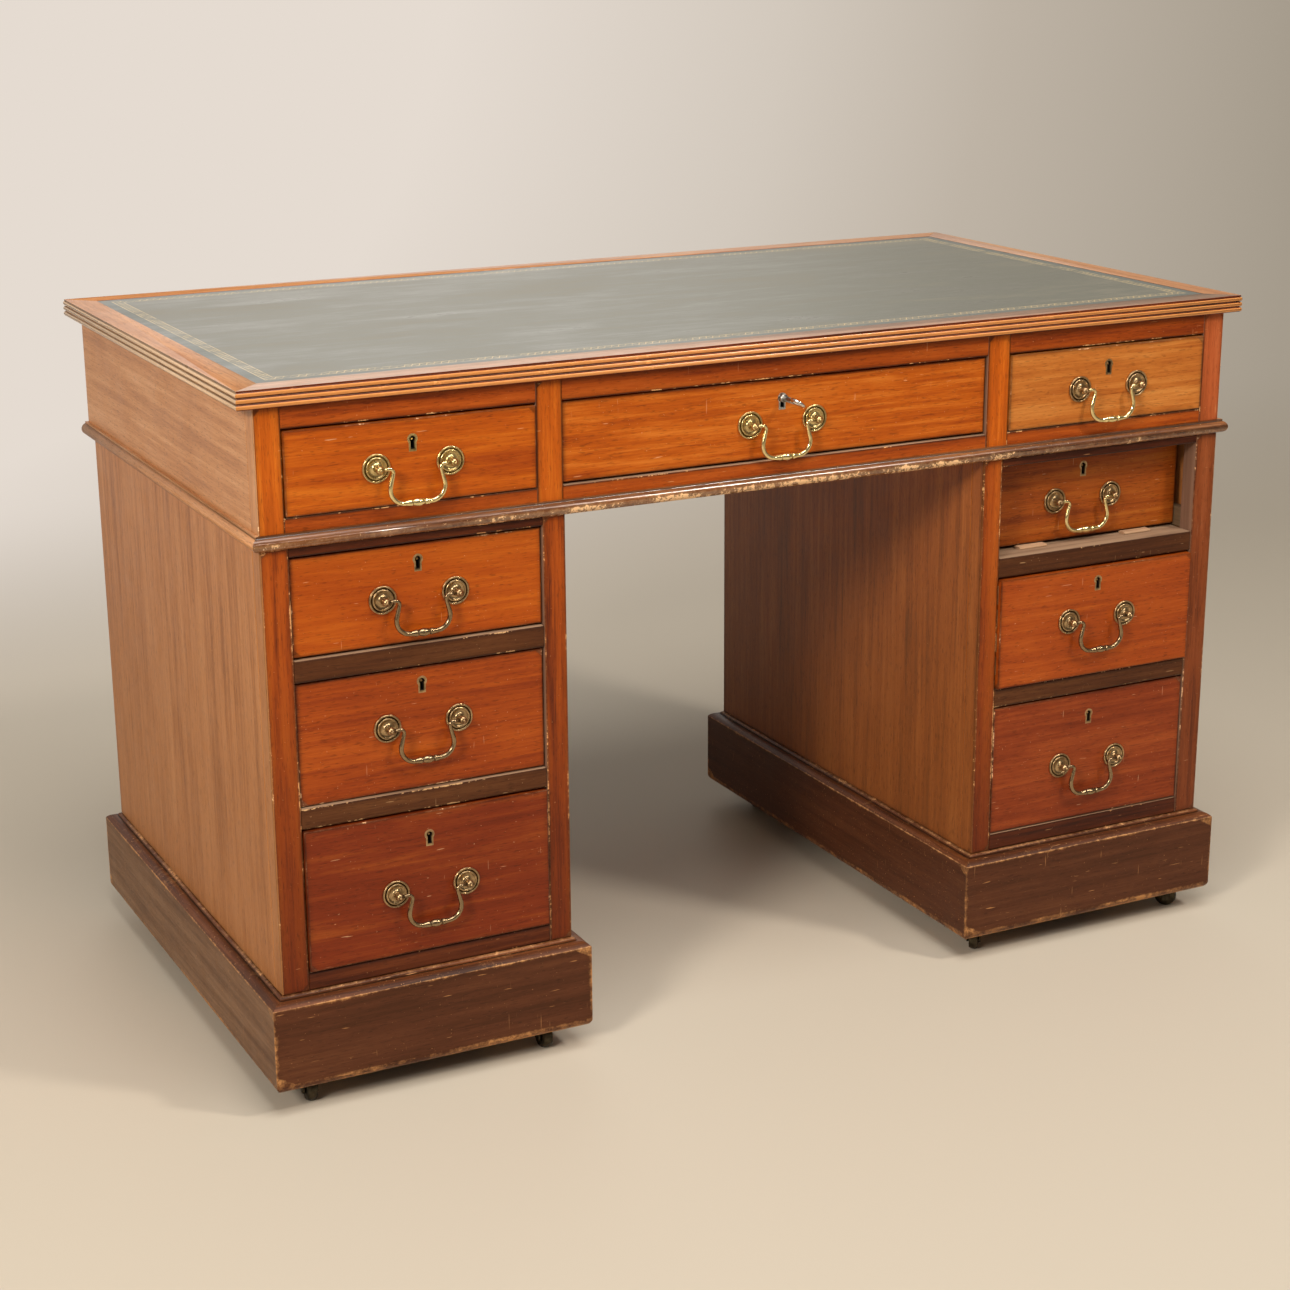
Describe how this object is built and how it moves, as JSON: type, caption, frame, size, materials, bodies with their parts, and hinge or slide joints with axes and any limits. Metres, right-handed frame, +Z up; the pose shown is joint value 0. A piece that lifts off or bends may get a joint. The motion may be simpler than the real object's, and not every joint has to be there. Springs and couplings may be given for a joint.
{
  "type": "pedestal desk",
  "caption": "Twin pedestal writing desk in polished wood with an inset leather top, drawers with swan-neck bail handles, open kneehole and plinths on castors.",
  "frame": {"origin": "on the floor, in the middle of the whole desk's box, key and handles included", "axes": "+X along the desk's length, to the right of someone facing the drawers; the drawers face -Y; +Z up"},
  "size_m": [1.22, 0.677, 0.768],
  "materials": {
    "panel_wood": "unpolished softwood ground under the leather",
    "lipping_mahogany": "worn shellac polish, faded by light",
    "green_leather": "dark green skiver with a gilt tooled border",
    "front_mahogany": "red-brown shellac polish with worn arrises",
    "side_mahogany": "faded shellac polish",
    "moulding_mahogany": "dark polish, chipped on the front",
    "back_mahogany": "thin shellac polish",
    "runner_wood": "unpolished, rubbed by the drawers",
    "castor_metal": "dark tarnish",
    "plinth_wood": "dark stained and scuffed",
    "drawer_mahogany": "shellac-polished front on a plain box",
    "aged_brass": "aged, rubbed bright on the high spots",
    "bail_brass": "aged, rubbed bright on the grip",
    "key_steel": "dull steel, handled bright",
    "castor_wheel": "dark tarnish, bright on the tread"
  },
  "bodies": {
    "desk": {"top_panel": "panel_wood", "top_lipping": "lipping_mahogany", "writing_leather": "green_leather", "frieze_front_frame": "front_mahogany", "frieze_ends": "side_mahogany", "waist_moulding": "moulding_mahogany", "back_panels": "back_mahogany", "drawer_runners": "runner_wood", "castor_plates": "castor_metal", "left_pedestal_case": "side_mahogany", "left_pedestal_frame": "front_mahogany", "left_plinth": "plinth_wood", "right_pedestal_case": "side_mahogany", "right_pedestal_frame": "front_mahogany", "right_plinth": "plinth_wood"},
    "frieze_left_drawer": {"frieze_left_drawer": "drawer_mahogany", "frieze_left_fittings": "aged_brass"},
    "frieze_left_bail": {"frieze_left_bail": "bail_brass"},
    "frieze_centre_drawer": {"frieze_centre_drawer": "drawer_mahogany", "frieze_centre_fittings": "aged_brass"},
    "frieze_centre_bail": {"frieze_centre_bail": "bail_brass"},
    "frieze_right_drawer": {"frieze_right_drawer": "drawer_mahogany", "frieze_right_fittings": "aged_brass"},
    "frieze_right_bail": {"frieze_right_bail": "bail_brass"},
    "left_upper_drawer": {"left_upper_drawer": "drawer_mahogany", "left_upper_fittings": "aged_brass"},
    "left_upper_bail": {"left_upper_bail": "bail_brass"},
    "right_upper_drawer": {"right_upper_drawer": "drawer_mahogany", "right_upper_fittings": "aged_brass"},
    "right_upper_bail": {"right_upper_bail": "bail_brass"},
    "left_middle_drawer": {"left_middle_drawer": "drawer_mahogany", "left_middle_fittings": "aged_brass"},
    "left_middle_bail": {"left_middle_bail": "bail_brass"},
    "right_middle_drawer": {"right_middle_drawer": "drawer_mahogany", "right_middle_fittings": "aged_brass"},
    "right_middle_bail": {"right_middle_bail": "bail_brass"},
    "left_lower_drawer": {"left_lower_drawer": "drawer_mahogany", "left_lower_fittings": "aged_brass"},
    "left_lower_bail": {"left_lower_bail": "bail_brass"},
    "right_lower_drawer": {"right_lower_drawer": "drawer_mahogany", "right_lower_fittings": "aged_brass"},
    "right_lower_bail": {"right_lower_bail": "bail_brass"},
    "key": {"key": "key_steel"},
    "lock_bolt": {"lock_bolt": "aged_brass"},
    "left_front_outer_fork": {"left_front_outer_fork": "castor_metal"},
    "left_front_outer_wheel": {"left_front_outer_wheel": "castor_wheel"},
    "left_front_inner_fork": {"left_front_inner_fork": "castor_metal"},
    "left_front_inner_wheel": {"left_front_inner_wheel": "castor_wheel"},
    "left_back_outer_fork": {"left_back_outer_fork": "castor_metal"},
    "left_back_outer_wheel": {"left_back_outer_wheel": "castor_wheel"},
    "left_back_inner_fork": {"left_back_inner_fork": "castor_metal"},
    "left_back_inner_wheel": {"left_back_inner_wheel": "castor_wheel"},
    "right_front_inner_fork": {"right_front_inner_fork": "castor_metal"},
    "right_front_inner_wheel": {"right_front_inner_wheel": "castor_wheel"},
    "right_front_outer_fork": {"right_front_outer_fork": "castor_metal"},
    "right_front_outer_wheel": {"right_front_outer_wheel": "castor_wheel"},
    "right_back_inner_fork": {"right_back_inner_fork": "castor_metal"},
    "right_back_inner_wheel": {"right_back_inner_wheel": "castor_wheel"},
    "right_back_outer_fork": {"right_back_outer_fork": "castor_metal"},
    "right_back_outer_wheel": {"right_back_outer_wheel": "castor_wheel"}
  },
  "joints": [
    {"name": "frieze_left_slide", "type": "slide", "parent": "desk", "child": "frieze_left_drawer", "axis": [0, -1, 0], "range_m": [-0.0025, 0.4]},
    {"name": "frieze_left_bail_swing", "type": "hinge", "parent": "frieze_left_drawer", "child": "frieze_left_bail", "pos_m": [-0.4275, -0.3125, 0.6766], "axis": [-1, 0, 0], "range_deg": [-9, 165]},
    {"name": "frieze_centre_slide", "type": "slide", "parent": "desk", "child": "frieze_centre_drawer", "axis": [0, -1, 0], "range_m": [0, 0.4]},
    {"name": "frieze_centre_bail_swing", "type": "hinge", "parent": "frieze_centre_drawer", "child": "frieze_centre_bail", "pos_m": [0, -0.307, 0.6766], "axis": [-1, 0, 0], "range_deg": [-9, 95]},
    {"name": "frieze_right_slide", "type": "slide", "parent": "desk", "child": "frieze_right_drawer", "axis": [0, -1, 0], "range_m": [-0.0025, 0.4]},
    {"name": "frieze_right_bail_swing", "type": "hinge", "parent": "frieze_right_drawer", "child": "frieze_right_bail", "pos_m": [0.4275, -0.3125, 0.6766], "axis": [-1, 0, 0], "range_deg": [-9, 165]},
    {"name": "left_upper_slide", "type": "slide", "parent": "desk", "child": "left_upper_drawer", "axis": [0, -1, 0], "range_m": [0, 0.4]},
    {"name": "left_upper_bail_swing", "type": "hinge", "parent": "left_upper_drawer", "child": "left_upper_bail", "pos_m": [-0.424, -0.307, 0.5391], "axis": [-1, 0, 0], "range_deg": [-9, 165]},
    {"name": "right_upper_slide", "type": "slide", "parent": "desk", "child": "right_upper_drawer", "axis": [0, -1, 0], "range_m": [-0.013, 0.4]},
    {"name": "right_upper_bail_swing", "type": "hinge", "parent": "right_upper_drawer", "child": "right_upper_bail", "pos_m": [0.424, -0.278, 0.5391], "axis": [-1, 0, 0], "range_deg": [-9, 165]},
    {"name": "left_middle_slide", "type": "slide", "parent": "desk", "child": "left_middle_drawer", "axis": [0, -1, 0], "range_m": [0, 0.4]},
    {"name": "left_middle_bail_swing", "type": "hinge", "parent": "left_middle_drawer", "child": "left_middle_bail", "pos_m": [-0.424, -0.307, 0.4022], "axis": [-1, 0, 0], "range_deg": [-9, 165]},
    {"name": "right_middle_slide", "type": "slide", "parent": "desk", "child": "right_middle_drawer", "axis": [0, -1, 0], "range_m": [-0.006, 0.4]},
    {"name": "right_middle_bail_swing", "type": "hinge", "parent": "right_middle_drawer", "child": "right_middle_bail", "pos_m": [0.424, -0.316, 0.4022], "axis": [-1, 0, 0], "range_deg": [-9, 165]},
    {"name": "left_lower_slide", "type": "slide", "parent": "desk", "child": "left_lower_drawer", "axis": [0, -1, 0], "range_m": [-0.004, 0.4]},
    {"name": "left_lower_bail_swing", "type": "hinge", "parent": "left_lower_drawer", "child": "left_lower_bail", "pos_m": [-0.424, -0.314, 0.222], "axis": [-1, 0, 0], "range_deg": [-9, 165]},
    {"name": "right_lower_slide", "type": "slide", "parent": "desk", "child": "right_lower_drawer", "axis": [0, -1, 0], "range_m": [0, 0.4]},
    {"name": "right_lower_bail_swing", "type": "hinge", "parent": "right_lower_drawer", "child": "right_lower_bail", "pos_m": [0.424, -0.31, 0.222], "axis": [-1, 0, 0], "range_deg": [-9, 165]},
    {"name": "key_turn", "type": "hinge", "parent": "frieze_centre_drawer", "child": "key", "pos_m": [0, -0.2965, 0.7024], "axis": [0, -1, 0], "range_deg": [0, 124]},
    {"name": "bolt_throw", "type": "slide", "parent": "frieze_centre_drawer", "child": "lock_bolt", "axis": [0, 0, 1], "range_m": [0, 0.007]},
    {"name": "left_front_outer_swivel", "type": "hinge", "parent": "desk", "child": "left_front_outer_fork", "pos_m": [-0.5615, -0.2705, 0.0347], "axis": [0, 0, 1], "continuous": true},
    {"name": "left_front_outer_roll", "type": "hinge", "parent": "left_front_outer_fork", "child": "left_front_outer_wheel", "pos_m": [-0.56199, -0.28449, 0.0135], "axis": [0.9994, -0.0349, 0], "continuous": true},
    {"name": "left_front_inner_swivel", "type": "hinge", "parent": "desk", "child": "left_front_inner_fork", "pos_m": [-0.2905, -0.2705, 0.0347], "axis": [0, 0, 1], "continuous": true},
    {"name": "left_front_inner_roll", "type": "hinge", "parent": "left_front_inner_fork", "child": "left_front_inner_wheel", "pos_m": [-0.28952, -0.28447, 0.0135], "axis": [0.9976, 0.0698, 0], "continuous": true},
    {"name": "left_back_outer_swivel", "type": "hinge", "parent": "desk", "child": "left_back_outer_fork", "pos_m": [-0.5615, 0.2785, 0.0347], "axis": [0, 0, 1], "continuous": true},
    {"name": "left_back_outer_roll", "type": "hinge", "parent": "left_back_outer_fork", "child": "left_back_outer_wheel", "pos_m": [-0.55859, 0.26481, 0.0135], "axis": [0.9781, 0.2079, 0], "continuous": true},
    {"name": "left_back_inner_swivel", "type": "hinge", "parent": "desk", "child": "left_back_inner_fork", "pos_m": [-0.2905, 0.2785, 0.0347], "axis": [0, 0, 1], "continuous": true},
    {"name": "left_back_inner_roll", "type": "hinge", "parent": "left_back_inner_fork", "child": "left_back_inner_wheel", "pos_m": [-0.29317, 0.26476, 0.0135], "axis": [0.9816, -0.1908, 0], "continuous": true},
    {"name": "right_front_inner_swivel", "type": "hinge", "parent": "desk", "child": "right_front_inner_fork", "pos_m": [0.2905, -0.2705, 0.0347], "axis": [0, 0, 1], "continuous": true},
    {"name": "right_front_inner_roll", "type": "hinge", "parent": "right_front_inner_fork", "child": "right_front_inner_wheel", "pos_m": [0.28188, -0.28153, 0.0135], "axis": [0.788, -0.6157, 0], "continuous": true},
    {"name": "right_front_outer_swivel", "type": "hinge", "parent": "desk", "child": "right_front_outer_fork", "pos_m": [0.5615, -0.2705, 0.0347], "axis": [0, 0, 1], "continuous": true},
    {"name": "right_front_outer_roll", "type": "hinge", "parent": "right_front_outer_fork", "child": "right_front_outer_wheel", "pos_m": [0.5705, -0.28123, 0.0135], "axis": [0.766, 0.6428, 0], "continuous": true},
    {"name": "right_back_inner_swivel", "type": "hinge", "parent": "desk", "child": "right_back_inner_fork", "pos_m": [0.2905, 0.2785, 0.0347], "axis": [0, 0, 1], "continuous": true},
    {"name": "right_back_inner_roll", "type": "hinge", "parent": "right_back_inner_fork", "child": "right_back_inner_wheel", "pos_m": [0.28904, 0.26458, 0.0135], "axis": [0.9945, -0.1045, 0], "continuous": true},
    {"name": "right_back_outer_swivel", "type": "hinge", "parent": "desk", "child": "right_back_outer_fork", "pos_m": [0.5615, 0.2785, 0.0347], "axis": [0, 0, 1], "continuous": true},
    {"name": "right_back_outer_roll", "type": "hinge", "parent": "right_back_outer_fork", "child": "right_back_outer_wheel", "pos_m": [0.56629, 0.26534, 0.0135], "axis": [0.9397, 0.342, 0], "continuous": true}
  ],
  "couplings": [
    {"joint": "bolt_throw", "follows": "key_turn", "m_per_rad": 0.0032344}
  ]
}
